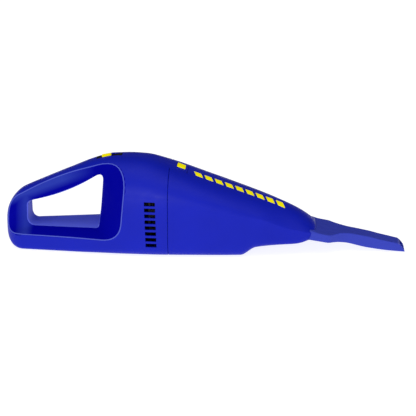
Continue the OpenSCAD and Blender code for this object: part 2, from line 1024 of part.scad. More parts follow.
module battery_cells() {
    color(GREEN)
        for (k = [0:cell_count - 1])
            translate([cell_x, (k - (cell_count - 1) / 2) * (cell_d + 0.3), cell_z])
                rotate([0, 90, 0]) {
                    cylinder(h = cell_l, d = cell_d);
                    translate([0, 0, cell_l - 0.1])
                        cylinder(h = 1.1, d = 6);
                }
}

module battery_tabs() {
    color(STEEL) {
        block([cell_x - 0.6, -14, cell_z - 3], [0.4, 18, 6]);
        block([cell_x + cell_l + 1.2, -4, cell_z - 3], [0.4, 18, 6]);
        block([cell_x - 0.6, 15, cell_z - 3], [0.4, 8, 6]);
        block([cell_x + cell_l + 1.2, -23, cell_z - 3], [0.4, 8, 6]);
    }
}

module battery_foam() {
    color(BLACK)
        for (x = [cell_x + 8, cell_x + cell_l - 16])
            block([x, -22, 2.75], [8, 44, 0.35]);
}

module charge_board() {
    color(BOARD)
        pad([-92.5, 0, 6.4], [30, 34, 1.6]);
}

module board_parts() {
    color(BLACK) {
        translate([-98, 9, 8.2])
            cylinder(h = 9, d = 7);
        pad([-88, 6, 8.2], [7, 9, 2]);
        pad([-86, -8, 8.2], [9, 7, 4]);
        pad([-99, -5, 8.2], [5, 5, 3]);
    }
}

jack_z = 15;

module jack_hole() {
    translate([rear_x - 2, 0, jack_z])
        rotate([0, 90, 0])
            cylinder(h = 12, d = 8.4);
}

module charge_jack() {
    color(BLACK)
        difference() {
            union() {
                translate([rear_x + 1, 0, jack_z])
                    rotate([0, 90, 0])
                        cylinder(h = 8, d = 8);
                pad([rear_x + 14.4, 0, jack_z - 5.5], [11, 10, 11]);
            }
            translate([rear_x, 0, jack_z])
                rotate([0, 90, 0])
                    cylinder(h = 15, d = 5.6);
        }
}

module jack_pin() {
    color(STEEL)
        translate([rear_x + 3, 0, jack_z])
            rotate([0, 90, 0])
                cylinder(h = 11.8, d = 2);
}

module wire_motor() {
    color(RED)
        wire([[-115.5, 0, 64], [-115.5, 12, 74], [-114, 11, 87], [-113.4, 2, 92.8]]);
}

module wire_switch() {
    color(RED)
        wire([
            [-113.4, -2, 92.8], [-111, -8, 87], [-112, -20, 70],
            [-112, -21, 40], [-108, -16, 16], [-105, -13, 9.4]
        ]);
}

module wire_battery() {
    color(RED)
        wire([[-123.2, 0, 13], [-119, 2, 16.6], [-110.5, 3, 16], [-105.5, 3, 9.6]]);
}

module wire_charge() {
    color(BLACK)
        wire([
            [rear_x + 17.5, 6.4, 12], [-212, 26, 7], [-186, 30, 6],
            [-124, 30, 6], [-114, 24, 4.3], [-106, 14, 5.2]
        ]);
}

// ---------------------------------------------------------------- part list

housing_right();
housing_left();
dust_bowl();
crevice_tool();
release_button();
release_spring();
switch_plate();
switch_knob();
switch_body();
switch_contact();
front_cover();
bowl_seal();
filter_gasket();
filter_frame();
filter_cup();
valve_seat();
flap();
flap_pin();
impeller();
fan_nut();
motor_plate();
motor_screws();
motor_can();
motor_magnets();
motor_bearings();
motor_shaft();
armature();
commutator();
motor_end();
motor_brushes();
motor_terminals();
motor_ring();
battery_cells();
battery_tabs();
battery_foam();
charge_board();
board_parts();
charge_jack();
jack_pin();
wire_motor();
wire_switch();
wire_battery();
wire_charge();
housing_screws();
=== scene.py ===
"""Looks of a cordless handheld vacuum cleaner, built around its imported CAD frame."""
import math

import bmesh
import bpy
import numpy as np
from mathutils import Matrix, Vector


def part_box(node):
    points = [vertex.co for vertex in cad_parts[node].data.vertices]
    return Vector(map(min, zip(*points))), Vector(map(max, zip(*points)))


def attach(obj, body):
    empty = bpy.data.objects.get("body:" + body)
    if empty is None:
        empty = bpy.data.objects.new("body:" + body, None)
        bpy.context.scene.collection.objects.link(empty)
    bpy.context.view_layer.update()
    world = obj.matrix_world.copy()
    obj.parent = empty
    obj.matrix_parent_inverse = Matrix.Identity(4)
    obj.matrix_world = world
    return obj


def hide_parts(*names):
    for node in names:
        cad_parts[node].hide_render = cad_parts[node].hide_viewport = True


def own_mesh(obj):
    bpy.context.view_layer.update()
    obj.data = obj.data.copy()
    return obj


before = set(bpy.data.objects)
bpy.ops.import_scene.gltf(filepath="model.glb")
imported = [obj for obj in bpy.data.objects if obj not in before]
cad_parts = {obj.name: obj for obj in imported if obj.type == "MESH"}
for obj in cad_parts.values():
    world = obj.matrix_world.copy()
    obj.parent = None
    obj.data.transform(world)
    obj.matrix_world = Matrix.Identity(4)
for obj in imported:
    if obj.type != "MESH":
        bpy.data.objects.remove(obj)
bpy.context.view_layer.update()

MM = 0.001


def lowest(node):
    """Lowest corner of a CAD node in millimetres."""
    return [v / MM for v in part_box(node)[0]]


def highest(node):
    """Highest corner of a CAD node in millimetres."""
    return [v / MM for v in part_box(node)[1]]


# ------------------------------------------------------------ shape of the body
# Millimetres, as in the CAD source. Station lines are [x, value] pairs.

SEAM_GAP = 0.3
SEAM_X, NOSE_X = lowest("dust_bowl")[0] - SEAM_GAP, highest("dust_bowl")[0]
TONGUE_X = highest("housing_left")[0]
BODY_W, BODY_H = 2 * highest("housing_left")[1], highest("housing_left")[2]
REAR_X, REAR_ROUND, REAR_POWER = -240.5, 24.0, 2.45
NOSE_ROUND, NOSE_DROP_W, NOSE_DROP_H = 18.0, 0.16, 0.4
REAR_END_Z = 32
WALL, BOWL_WALL = 2.4, 2.2
GRIP_W, GRIP_Z = 32.0, 58.0
RAIL_W, RAIL_REAR_W, RAIL_Z = 54.0, 34.0, 28.0
MOUTH_X, MOUTH_Z = NOSE_X - 6, 23.6
NOZZLE_DROOP = math.radians(8.5)

CROWN_LINE = [
    [REAR_X, 60], [-216, 71.6], [-192, 82.2], [-163, 94.5], [-130, 107.5], [-112, BODY_H - 0.6],
    [-92, BODY_H], [-72, BODY_H - 1.2], [-46, 104.5], [0, 88], [60, 67.5], [100, 52.6], [NOSE_X, 35],
]
BASE_LINE = [[REAR_X, -0.5], [43, -0.5], [61, 9.4], [80, 11.4], [110, 12.8], [NOSE_X, 16.5]]
WIDTH_LINE = [
    [REAR_X, 31], [-200, 36], [-160, 41], [-123, 47], [-90, BODY_W / 2 - 2.5],
    [-50, BODY_W / 2], [0, BODY_W / 2 - 2], [62, 45], [96, 37.5], [NOSE_X, 31.5],
]
BELT_LINE = [
    [REAR_X, 18], [-160, 20], [-110, 38], [-60, 52], [-20, 58], [62, 48], [100, 34], [NOSE_X, 27],
]
CROWN_Y_POWER = [[REAR_X, 2.5], [-20, 2.5], [NOSE_X, 2.1]]
CROWN_Z_POWER = [[REAR_X, 2.5], [-20, 2.4], [60, 1.45], [110, 1.1], [NOSE_X, 1.05]]
BASE_POWER = [[REAR_X, 7], [104, 7], [122, 4], [NOSE_X, 2.4]]

# Distances beyond every skin of the body, for the ends of cutters.
FAR_Y, FAR_Z = 75, 140
# How far the two sides' cutters reach across the middle plane.
OVERLAP_Y = 0.05

# Side outlines of the finger loop and its dish: [x, z, reach of the corner].
LOOP_OUTLINE = [
    [-213, 27, 11], [-126.5, 28.5, 4], [-120.8, 95.2, 12.5], [-162, 69.2, 34], [-213, 56.4, 5],
]
DISH_OUTLINE = [
    [-237, 21, 10], [-99, 19.5, 22], [-90, 116, 40], [-179, 88, 40], [-236, 58, 16],
]
RAIL_START_X, RAIL_RUN = -205, 78
DISH_POWER = 1.25


def smooth(table, x):
    """Monotone smooth curve through a table of [x, value] pairs."""
    t = np.array(table, float)
    x = np.asarray(x, float)
    run = np.diff(t[:, 0])
    rise = np.diff(t[:, 1]) / run
    product = rise[:-1] * rise[1:]
    total = np.where(rise[:-1] + rise[1:] == 0, 1, rise[:-1] + rise[1:])
    inner = np.where(product > 0, 2 * product / total, 0)
    slope = np.concatenate([rise[:1], inner, rise[-1:]])
    i = np.clip(np.searchsorted(t[:, 0], x, side="right") - 1, 0, len(run) - 1)
    h = run[i]
    u = np.clip((x - t[i, 0]) / h, 0, 1)
    return (
        t[i, 1] * (2 * u**3 - 3 * u**2 + 1)
        + t[i + 1, 1] * (3 * u**2 - 2 * u**3)
        + h * slope[i] * (u**3 - 2 * u**2 + u)
        + h * slope[i + 1] * (u**3 - u**2)
    )


def end_scale(x):
    """Width and height factors of the section in the rounded ends."""
    rear = np.clip((x - REAR_X) / REAR_ROUND, 0, 1)
    growth = (1 - (1 - rear) ** REAR_POWER) ** (1 / REAR_POWER)
    nose = np.clip((x - NOSE_X + NOSE_ROUND) / NOSE_ROUND, 0, 1)
    drop = 1 - np.sqrt(1 - nose**2)
    return growth * (1 - NOSE_DROP_W * drop), growth * (1 - NOSE_DROP_H * drop)


def section(x, inset=0.0):
    """Half width, crown, belt and base of the body at x; in the ends, heights shrink towards end_z."""
    across, along = end_scale(x)
    end_z = np.where(x < SEAM_X, REAR_END_Z, MOUTH_Z)
    return (
        smooth(WIDTH_LINE, x) * across - inset,
        end_z + (smooth(CROWN_LINE, x) - end_z) * along - inset,
        end_z + (smooth(BELT_LINE, x) - end_z) * along,
        end_z + (smooth(BASE_LINE, x) - end_z) * along + inset,
    )


def half_width(x, z, inset=0.0):
    """Half width of the body at x and height z."""
    w, crown, belt, base = section(x, inset)
    up = np.clip((z - belt) / (crown - belt), 0, 1)
    down = np.clip((belt - z) / (belt - base), 0, 1)
    py, pz = smooth(CROWN_Y_POWER, x), smooth(CROWN_Z_POWER, x)
    above = w * (1 - up**pz) ** (1 / py)
    low_power = smooth(BASE_POWER, x)
    below = w * (1 - down**low_power) ** (1 / low_power)
    return np.where(z > belt, above, below)


def body_ring(x, inset=0.0, crown_steps=30, base_steps=14):
    """Closed section of the body at x, starting at the crown and running round by +Y."""
    w, crown, belt, base = (float(v) for v in section(x, inset))
    py, pz = float(smooth(CROWN_Y_POWER, x)), float(smooth(CROWN_Z_POWER, x))
    a = np.linspace(0, math.pi / 2, crown_steps + 1)
    top = np.stack([w * np.sin(a) ** (2 / py), belt + (crown - belt) * np.cos(a) ** (2 / pz)], 1)
    b = np.linspace(0, math.pi / 2, base_steps + 1)[1:]
    turn = 2 / float(smooth(BASE_POWER, x))
    under = np.stack([w * np.cos(b) ** turn, belt - (belt - base) * np.sin(b) ** turn], 1)
    side = np.concatenate([top, under])
    side[0, 0] = side[-1, 0] = 0
    ring = np.concatenate([side, side[-2:0:-1] * [-1, 1]])
    ring[:, 1] = np.maximum(ring[:, 1], 0)
    return np.column_stack([np.full(len(ring), x), ring])


def rounded(corners, corner_steps=10, side_steps=12):
    """Outline of [x, z] points with every corner rounded off within its reach."""
    c = np.array(corners, float)
    count = len(c)
    ends = []
    for i in range(count):
        p = c[i, :2]
        for q in (c[i - 1, :2], c[(i + 1) % count, :2]):
            ends.append(p + (q - p) * c[i, 2] / np.linalg.norm(q - p))
    points = []
    for i in range(count):
        start, stop, following = ends[2 * i], ends[2 * i + 1], ends[(2 * i + 2) % (2 * count)]
        for u in np.linspace(0, 1, corner_steps + 1):
            points.append((1 - u) ** 2 * start + 2 * u * (1 - u) * c[i, :2] + u * u * stop)
        for u in np.linspace(0, 1, side_steps + 1)[1:-1]:
            points.append(stop + (following - stop) * u)
    return np.array(points)


def grown(outline, amount):
    """A closed outline pushed outwards."""
    t = np.roll(outline, -1, 0) - np.roll(outline, 1, 0)
    t /= np.linalg.norm(t, axis=1)[:, None]
    return outline + amount * np.column_stack([t[:, 1], -t[:, 0]])


def loop_edge_y(x, z):
    """Half width of the handle at the edge of its finger loop."""
    ahead = np.clip((x - RAIL_START_X) / RAIL_RUN, 0, 1)
    rail = (RAIL_REAR_W + (RAIL_W - RAIL_REAR_W) * ahead) / 2
    u = np.clip((z - RAIL_Z) / (GRIP_Z - RAIL_Z), 0, 1)
    return rail + (GRIP_W / 2 - rail) * (3 * u**2 - 2 * u**3)


def dish_ring(t, grow=0.0):
    """One ring of the dish between the loop edge (t = 0) and the body skin (t = 1)."""
    inner = grown(rounded(LOOP_OUTLINE), grow)
    outer = grown(rounded(DISH_OUTLINE), grow)
    y0 = loop_edge_y(inner[:, 0], inner[:, 1]) - grow
    y1 = half_width(outer[:, 0], outer[:, 1]) - grow
    xz = inner + (outer - inner) * t**DISH_POWER
    return np.column_stack([xz[:, 0], y0 + (y1 - y0) * t, xz[:, 1]])


def unit(v):
    """Vectors of length 1 along the rows of v."""
    return v / np.linalg.norm(v, axis=1)[:, None]


def skin_normal(points):
    """Outward normal of the body skin at points on its +Y side."""
    x, z, d = points[:, 0], points[:, 2], 0.3
    slope_x = (half_width(x + d, z) - half_width(x - d, z)) / (2 * d)
    slope_z = (half_width(x, z + d) - half_width(x, z - d)) / (2 * d)
    return unit(np.column_stack([-slope_x, np.ones(len(x)), -slope_z]))


def arc(a, corner, b, shares):
    """Rings along the quadratic curve from a over corner to b."""
    return [(1 - u) ** 2 * a + 2 * u * (1 - u) * corner + u * u * b for u in shares]


def handle_rings(lip=1.5, inner_edge=1.2):
    """Rings of the finger loop's space on the +Y side, with rounded loop edge and lip."""
    first, last = dish_ring(0), dish_ring(1)
    wall = unit(first * [0, 0, 0] - [0, 1, 0])
    into = unit(dish_ring(0.04) - first)
    rings = [first * [1, 0, 1] - [0, OVERLAP_Y, 0]]
    rings += arc(first + wall * inner_edge, first, first + into * inner_edge, np.linspace(0, 1, 5))
    rings += [dish_ring(t) for t in np.linspace(0.08, 0.9, 14)]
    back = unit(dish_ring(0.97) - last)
    along = unit(np.roll(last, -1, 0) - np.roll(last, 1, 0))
    away = unit(np.cross(skin_normal(last), along))
    away *= np.sign(np.sum(away * (last - first), axis=1))[:, None]
    flare = arc(last + back * lip, last, last + away * lip, np.linspace(0, 0.86, 8))
    outward = unit(flare[-1] - flare[-2])
    rings += flare
    edge = flare[-1] + outward * 1.5
    rings += [edge, edge * [1, 0, 1] + [0, FAR_Y, 0]]
    return rings


# ------------------------------------------------------------------ mesh helpers

def new_object(name, verts, faces):
    """Mesh object from points in millimetres, with its normals turned outwards."""
    mesh = bpy.data.meshes.new(name)
    mesh.from_pydata(np.asarray(verts, float) * MM, [], faces)
    made = bpy.data.objects.new(name, mesh)
    bpy.context.scene.collection.objects.link(made)
    shape = bmesh.new()
    shape.from_mesh(mesh)
    bmesh.ops.recalc_face_normals(shape, faces=shape.faces)
    shape.to_mesh(mesh)
    shape.free()
    return made


def loft(name, rings):
    """Closed solid through rings with the same number of points."""
    n, m = len(rings[0]), len(rings)
    faces = [
        [j * n + i, j * n + (i + 1) % n, (j + 1) * n + (i + 1) % n, (j + 1) * n + i]
        for j in range(m - 1)
        for i in range(n)
    ]
    faces += [list(range(n)), list(range((m - 1) * n, m * n))]
    return new_object(name, np.concatenate(rings), faces)


def block(name, a, b):
    """Box between two corners, lowest first."""
    ring = [[a[1], a[2]], [b[1], a[2]], [b[1], b[2]], [a[1], b[2]]]
    return loft(name, [np.array([[x, y, z] for y, z in ring], float) for x in (a[0], b[0])])


def tube(name, start, stop, diameter, steps=48):
    """Round bar between two points."""
    start, stop = np.array(start, float), np.array(stop, float)
    way = Vector(stop - start).normalized()
    side = way.orthogonal()
    other = way.cross(side)
    a = np.linspace(0, 2 * math.pi, steps, endpoint=False)
    ring = np.outer(np.cos(a), side) + np.outer(np.sin(a), other)
    return loft(name, [start + ring * diameter / 2, stop + ring * diameter / 2])


def settle(made):
    """Turns an object's modifiers into its mesh."""
    graph = bpy.context.evaluated_depsgraph_get()
    mesh = bpy.data.meshes.new_from_object(made.evaluated_get(graph))
    made.modifiers.clear()
    made.data = mesh


def combine(made, others, operation="DIFFERENCE"):
    """Cuts others out of made, or joins or intersects with them, and removes them."""
    for other in others:
        modifier = made.modifiers.new("combine", "BOOLEAN")
        modifier.solver = "MANIFOLD"
        modifier.operation = operation
        modifier.object = other
    settle(made)
    for other in others:
        bpy.data.objects.remove(other)
    return made


def bevel(made, width, segments=3, angle=35):
    """Rounds the edges above an angle; width is in millimetres."""
    modifier = made.modifiers.new("edges", "BEVEL")
    modifier.width = width * MM
    modifier.segments = segments
    modifier.limit_method = "ANGLE"
    modifier.angle_limit = math.radians(angle)
    modifier.harden_normals = False
    return made


def soften(made, angle=32):
    """Smooth shading with sharp edges above an angle and normals led by the large faces."""
    mesh = made.data
    mesh.shade_smooth()
    shape = bmesh.new()
    shape.from_mesh(mesh)
    for edge in shape.edges:
        edge.smooth = len(edge.link_faces) == 2 and edge.calc_face_angle(0) < math.radians(angle)
    shape.to_mesh(mesh)
    shape.free()
    modifier = made.modifiers.new("normals", "WEIGHTED_NORMAL")
    modifier.keep_sharp = True
    return made


# ------------------------------------------------------------------- shell parts

STATION_STEP = 2.4


def rear_stations(inset):
    """Stations of the housing, close together in its rounded rear end."""
    turn = np.radians(np.arange(3, 88, 3.5))
    ends = REAR_X + inset + REAR_ROUND * (1 - np.cos(turn))
    start = REAR_X + REAR_ROUND + inset + 1
    return np.concatenate([ends, np.arange(start, SEAM_X - 1.6, STATION_STEP)])


def edge_rings(x, way, radius=0.7):
    """Rings that round off an end of the body at x; way is the direction of the end."""
    turn = np.radians([0, 25, 50, 75, 90])
    return [body_ring(x - way * radius * (1 - math.sin(a)), radius * (1 - math.cos(a))) for a in turn]


def handle_walls(side):
    """Space that the walls around the finger loop fill on one side."""
    rings = [dish_ring(t, WALL) for t in np.linspace(0, 1, 12)]
    inner = rings[0] * [1, 0, 1] - [0, OVERLAP_Y, 0]
    outer = rings[-1] * [1, 0, 1] + [0, FAR_Y, 0]
    rings = [inner, *rings, outer]
    return loft("handle_walls", [ring * [1, side, 1] for ring in rings])


# Material slots of the housing in the order of HOUSING_MATERIALS, and the slot of each band of
# faces from the middle of the finger loop outwards: loop wall, dish, lip, edge of the lip, skin.
# Of these, the loop wall carries painted light and reflection, the dish and the lip's edge painted
# shade, and the lip a painted highlight.
SHELL_SLOT, RECESS_SHADE_SLOT, LIP_HIGHLIGHT_SLOT, LOOP_LIGHT_SLOT = range(4)
LOOP_BANDS = [LOOP_LIGHT_SLOT] * 5 + [RECESS_SHADE_SLOT] * 17 + [LIP_HIGHLIGHT_SLOT] * 4 + [RECESS_SHADE_SLOT] * 2 + [SHELL_SLOT]


def handle_space(side):
    """Cutter of the finger loop on one side, with the dish's painted shade, the lip's painted highlight
    and the loop wall's painted light set by material slot.
    """
    rings = handle_rings()
    made = loft("handle_space", [ring * [1, side, 1] for ring in rings])
    dress(made, *HOUSING_MATERIALS)
    for face in made.data.polygons[: len(LOOP_BANDS) * len(rings[0])]:
        face.material_index = LOOP_BANDS[face.index // len(rings[0])]
    return made


SCREW_SPOTS = [[-224, 52], [-223, 31.5], [-150, 86], [-88, 98], [-114, 10]]
BOSS_D, POCKET_D, POCKET_Y = 9, 6.4, 8
PARTING_GAP = 0.06
VENT_COUNT, VENT_PITCH, VENT_LEAN = 8, 7.2, 0.2
VENT_X, VENT_Z, VENT_L, VENT_H = -63, 66.2, 13, 4.6
JACK_Z, JACK_HOLE_D = 15, 8.4
TONGUE_W, TONGUE_Z = 37.0, 80.3
NOTCH_W = TONGUE_W + 2 * SEAM_GAP
BORE_W, BORE_H, BORE_R = 50.0, 12.4, 2.6
BUTTON_X = (lowest("release_button")[0] + highest("release_button")[0]) / 2
BUTTON_L, BUTTON_W, BUTTON_PROUD, BUTTON_GAP = 9.4, 15.0, 0.8, 0.4
SWITCH_X = (lowest("switch_plate")[0] + highest("switch_plate")[0]) / 2
SWITCH_REACH, SWITCH_DEPTH = 13.0, 2.2
RECESS_L, RECESS_W = 31.4, 11.0


def tongue(inset):
    """The housing's tongue under the release button, or the space inside it."""
    stations = np.arange(SEAM_X - 4, TONGUE_X - inset - 0.7, 2)
    rings = [body_ring(x, inset) for x in stations] + edge_rings(TONGUE_X - inset, 1)
    limit = block(
        "limit",
        [SEAM_X - 8, inset - TONGUE_W / 2, TONGUE_Z + inset],
        [TONGUE_X + 2, TONGUE_W / 2 - inset, FAR_Z],
    )
    return combine(loft("tongue", rings), [limit], "INTERSECT")


def housing_cavity():
    """Space inside the housing, around the finger loop's walls and the screw bosses."""
    rings = [body_ring(x, WALL) for x in rear_stations(WALL)] + [body_ring(SEAM_X + 1, WALL)]
    cavity = loft("cavity", rings)
    bosses = [tube("boss", [x, -FAR_Y, z], [x, FAR_Y, z], BOSS_D) for x, z in SCREW_SPOTS]
    return combine(cavity, [handle_walls(side) for side in (-1, 1)] + bosses)


def vent_slots():
    """The exhaust slots, through both sides."""
    slots = []
    for k in range(VENT_COUNT):
        x, z = VENT_X + VENT_LEAN * k, VENT_Z - VENT_PITCH * k
        start = [x - VENT_L / 2, -FAR_Y, z - VENT_H / 2]
        stop = [x + VENT_L / 2, FAR_Y, z + VENT_H / 2]
        slots.append(block("slot", start, stop))
    return slots


def switch_recess():
    """Recess in the crown that takes the switch plate."""
    before = float(smooth(CROWN_LINE, SWITCH_X - SWITCH_REACH))
    after = float(smooth(CROWN_LINE, SWITCH_X + SWITCH_REACH))
    tilt = math.atan2(after - before, 2 * SWITCH_REACH)
    recess = block("recess", [-RECESS_L / 2, -RECESS_W / 2, -0.4], [RECESS_L / 2, RECESS_W / 2, 12])
    turn_y(recess, -tilt, [SWITCH_X, 0, (before + after) / 2 - SWITCH_DEPTH])
    return recess


def turn_y(made, angle, place):
    """Turns an object's mesh about Y and moves it to its place."""
    co = np.array([v.co for v in made.data.vertices]) / MM
    c, s = math.cos(angle), math.sin(angle)
    turned = np.column_stack([co[:, 0] * c + co[:, 2] * s, co[:, 1], co[:, 2] * c - co[:, 0] * s])
    made.data.vertices.foreach_set("co", ((turned + place) * MM).ravel())
    made.data.update()


def housing():
    """Both housing halves as one hollow solid, with every opening cut."""
    rings = [body_ring(x) for x in rear_stations(0)] + edge_rings(SEAM_X, 1)
    shell = combine(loft("shell", rings), [tongue(0)], "UNION")
    dress(shell, *HOUSING_MATERIALS)
    window = block(
        "window",
        [BUTTON_X - BUTTON_L / 2 - BUTTON_GAP, -BUTTON_W / 2 - BUTTON_GAP, 80],
        [BUTTON_X + BUTTON_L / 2 + BUTTON_GAP, BUTTON_W / 2 + BUTTON_GAP, FAR_Z],
    )
    cutters = [housing_cavity(), tongue(1.8), window, switch_recess()]
    cutters += [handle_space(side) for side in (-1, 1)]
    cutters += vent_slots()
    cutters.append(tube("jack", [REAR_X - 2, 0, JACK_Z], [REAR_X + 10, 0, JACK_Z], JACK_HOLE_D))
    return combine(shell, cutters)


def housing_half(shell, name, side):
    """One half of the housing, on the given side of the parting plane."""
    piece = bpy.data.objects.new(name, shell.data.copy())
    bpy.context.scene.collection.objects.link(piece)
    near, far = sorted([PARTING_GAP / 2 * side, FAR_Y * side])
    combine(piece, [block("side", [REAR_X - 20, near, -5], [0, far, FAR_Z])], "INTERSECT")
    if side > 0:
        pockets = [tube("pocket", [x, POCKET_Y, z], [x, FAR_Y, z], POCKET_D) for x, z in SCREW_SPOTS]
        combine(piece, pockets)
    return soften(piece)


def nozzle_place(made):
    """Moves an object made on the nozzle axis, with X = 0 at the bowl's mouth, to its place."""
    turn_y(made, NOZZLE_DROOP, [MOUTH_X, 0, MOUTH_Z])
    return made


def box_ring(x, w, h, low_r, top_r, steps=5):
    """Rounded rectangle of half width w and height h across the nozzle axis."""
    a = np.radians(np.linspace(0, 90, steps + 1))
    points = []
    for quarter, (cy, cz) in enumerate([(1, 1), (-1, 1), (-1, -1), (1, -1)]):
        turned = a + quarter * math.pi / 2
        r = top_r if cz > 0 else low_r
        y = cy * (w - r) + r * np.cos(turned)
        z = cz * (h / 2 - r) + r * np.sin(turned)
        points.append(np.column_stack([y, z]))
    ring = np.concatenate(points)
    return np.column_stack([np.full(len(ring), x), ring])


def duct(name, x0, x1, width, height, r):
    """Rounded bar along the nozzle axis."""
    return nozzle_place(loft(name, [box_ring(x, width / 2, height, r, r) for x in (x0, x1)]))


def nose_rings(x0, inset):
    """Rings of the bowl from x0 to its front, close together in the rounded nose."""
    last = NOSE_X - NOSE_ROUND - inset
    turn = np.radians(np.arange(0, 91, 5))
    stations = np.concatenate([np.arange(x0, last - 1, STATION_STEP), last + NOSE_ROUND * np.sin(turn)])
    return [body_ring(x, inset) for x in stations]


def bowl():
    """Dust bowl with its nozzle duct and the notch for the housing tongue."""
    start = SEAM_X + SEAM_GAP
    rings = edge_rings(start, -1)[::-1] + nose_rings(start + 1.6, 0)
    shell = loft("bowl_shell", rings)
    inside = loft("inside", nose_rings(SEAM_X - 1, BOWL_WALL))
    sleeve = duct("sleeve", -26, 20, BORE_W + 2 * BOWL_WALL, BORE_H + 2 * BOWL_WALL, 4)
    combine(inside, [sleeve])
    notch = block("notch", [-56, -NOTCH_W / 2, 70], [TONGUE_X + SEAM_GAP, NOTCH_W / 2, FAR_Z])
    combine(shell, [inside, duct("bore", -60, 40, BORE_W, BORE_H, BORE_R), notch])
    return soften(shell)


# Half width, top, underside and upper corner radius of the crevice tool at shares of its reach
# in percent.
TOOL_PLAN = [
    [-6, 31.3], [18.5, 30.7], [24.5, 24.8], [31, 18.4], [41, 13.8], [55, 13], [75, 12.7], [100, 10.5],
]
TOOL_TOP = [
    [-6, 7.2], [0, 6.9], [8, 5.2], [20, 4.7], [31, 5.8], [41, 6.1], [60, 5.4], [71, 4.1], [100, 2],
]
TOOL_LOW = [[-6, -4.8], [20, -4.9], [41, -6.2], [60, -7.9], [71, -7.8], [87, -7.1], [100, -6.1]]
TOOL_CORNER = [[-6, 6], [8, 2.2], [20, 1.2], [100, 1]]
TOOL_REACH, TOOL_SPLAY, TOOL_WALL = 115.6, 3.0, 1.5
TOOL_LOW_R, TOOL_LEAST_R = 1.5, 0.6
TOOL_GAP = 0.3
SPIGOT_W, SPIGOT_H, SPIGOT_REACH = 49.4, 11.8, 25.4
# Outline of the tool's end beside its reach: [along, up] at the underside, the bend and the top.
TOOL_END = [[0.4, -8], [-2.6, -0.8], [-14.2, 5]]


def tool_ring(s, inset=0.0):
    """Section of the tool at a distance from the bowl's mouth, wider at its underside."""
    share = s / TOOL_REACH * 100
    top = float(smooth(TOOL_TOP, share)) - inset
    under = float(smooth(TOOL_LOW, share)) + inset
    across = float(smooth(TOOL_PLAN, share)) - inset
    upper_r = max(TOOL_LEAST_R, float(smooth(TOOL_CORNER, share)) - inset)
    lower_r = max(TOOL_LEAST_R, TOOL_LOW_R - inset)
    ring = box_ring(s, across, top - under, lower_r, upper_r)
    ring[:, 2] += (top + under) / 2
    splay = TOOL_SPLAY * max(0, share) / 100
    ring[:, 1] += np.sign(ring[:, 1]) * splay * (top - ring[:, 2]) / (top - under)
    return ring


def tool_body(name, inset, start, stop, count=50):
    """Tool without its spigot between two distances from the bowl's mouth."""
    return loft(name, [tool_ring(s, inset) for s in np.linspace(start, stop, count)])


def tool_end():
    """Cutter of the tool's slanted, slightly bulging end."""
    start, bend, stop = np.array(TOOL_END) + [TOOL_REACH, 0]
    curve = arc(start, bend, stop, np.linspace(0, 1, 9))
    outline = np.array([[TOOL_REACH + 30, -8], *curve, [TOOL_REACH + 30, 5]])
    rings = []
    for y in (-40, 40):
        rings.append(np.column_stack([outline[:, 0], np.full(len(outline), y), outline[:, 1]]))
    return loft("tool_end", rings)


def tool():
    """Crevice tool: spigot, collar around the nose, flat tapering nozzle and slanted end."""
    body = tool_body("tool_shell", 0, -4, TOOL_REACH + 6)
    nozzle_place(body)
    combine(body, [loft("nose", nose_rings(90, -TOOL_GAP))])
    combine(body, [duct("spigot", -SPIGOT_REACH, 6.5, SPIGOT_W, SPIGOT_H, 2.4)], "UNION")
    inner = nozzle_place(tool_body("inner", TOOL_WALL, 5, TOOL_REACH + 12))
    inlet = duct("inlet", -27, 5.5, SPIGOT_W - 2 * TOOL_WALL, SPIGOT_H - 2 * TOOL_WALL, 1.4)
    combine(body, [inner, inlet, nozzle_place(tool_end())])
    bevel(body, 0.3, 2)
    settle(body)
    return soften(body)


def button():
    """Release button, slightly proud of the tongue."""
    stations = np.linspace(BUTTON_X - 6, BUTTON_X + 6, 13)
    cap = loft("button_cap", [body_ring(x, -BUTTON_PROUD) for x in stations])
    limit = block(
        "limit",
        [BUTTON_X - BUTTON_L / 2, -BUTTON_W / 2, 90.5],
        [BUTTON_X + BUTTON_L / 2, BUTTON_W / 2, 120],
    )
    combine(cap, [limit], "INTERSECT")
    bevel(cap, 0.7, 3, 50)
    settle(cap)
    return soften(cap)


def leaf_spring(width=7.0, thickness=0.5, flatness=0.55):
    """Flattened loop of spring steel under the release button, open at the middle of its foot."""
    turn = np.radians(np.linspace(-86, 266, 65))
    c, s = np.cos(turn), np.sin(turn)
    middle = (lowest("release_spring")[2] + highest("release_spring")[2]) / 2
    reach = highest("release_spring")[1] - thickness / 2
    rise = highest("release_spring")[2] - middle - thickness / 2
    y = reach * np.sign(c) * np.abs(c) ** flatness
    z = rise * np.sign(s) * np.abs(s) ** flatness
    way = unit(np.column_stack([np.gradient(y), np.gradient(z)]))
    rings = []
    for k in range(len(turn)):
        step = np.array([way[k, 1], -way[k, 0]]) * thickness / 2
        a, b = np.array([y[k], middle + z[k]]) + step, np.array([y[k], middle + z[k]]) - step
        x0, x1 = BUTTON_X - width / 2, BUTTON_X + width / 2
        rings.append(np.array([[x0, *a], [x1, *a], [x1, *b], [x0, *b]]))
    return soften(loft("leaf_spring", rings))


def crown_z(x, y, inset=0.0):
    """Height of the body's crown at x and distance y from the middle."""
    w, crown, belt, _ = section(x, inset)
    share = (1 - (np.abs(y) / w) ** smooth(CROWN_Y_POWER, x)) ** (1 / smooth(CROWN_Z_POWER, x))
    return belt + (crown - belt) * share


BARS_Y = (2.5, 14.5)


